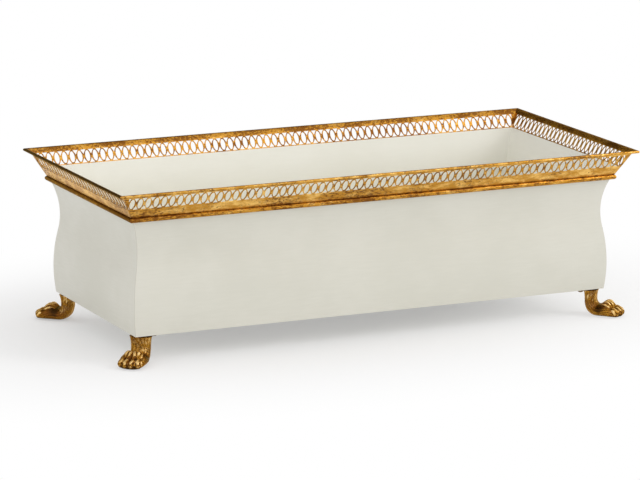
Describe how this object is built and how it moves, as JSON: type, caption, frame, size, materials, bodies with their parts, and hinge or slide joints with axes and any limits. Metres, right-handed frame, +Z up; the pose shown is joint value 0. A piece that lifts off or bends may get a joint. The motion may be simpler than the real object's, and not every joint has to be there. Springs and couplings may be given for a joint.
{
  "type": "footed planter trough",
  "caption": "Low rectangular sheet-metal planter with ogee walls, a half-round moulding, a flared pierced gallery and cast paw feet; holds potted plants or soil.",
  "frame": {"origin": "on the floor under the middle of the planter", "axes": "+X along the length to the right of the front, +Y from the front to the back, +Z up"},
  "size_m": [0.66, 0.308, 0.203],
  "materials": {
    "cream_paint": "satin",
    "pan_paint": "satin",
    "gilt_strip": "worn gold leaf",
    "gilt_moulding": "worn gold leaf",
    "gilt_casting": "burnished",
    "fastener_steel": "dull"
  },
  "bodies": {
    "root": {"front_panel": "cream_paint", "bead_front": "gilt_moulding", "gallery_front": "gilt_strip", "back_panel": "cream_paint", "bead_back": "gilt_moulding", "gallery_back": "gilt_strip", "left_panel": "cream_paint", "bead_left": "gilt_moulding", "gallery_left": "gilt_strip", "right_panel": "cream_paint", "bead_right": "gilt_moulding", "gallery_right": "gilt_strip", "bottom_pan": "pan_paint", "foot_front_left": "gilt_casting", "foot_front_right": "gilt_casting", "foot_back_left": "gilt_casting", "foot_back_right": "gilt_casting", "foot_screws": "fastener_steel", "foot_nuts": "fastener_steel"}
  },
  "joints": []
}
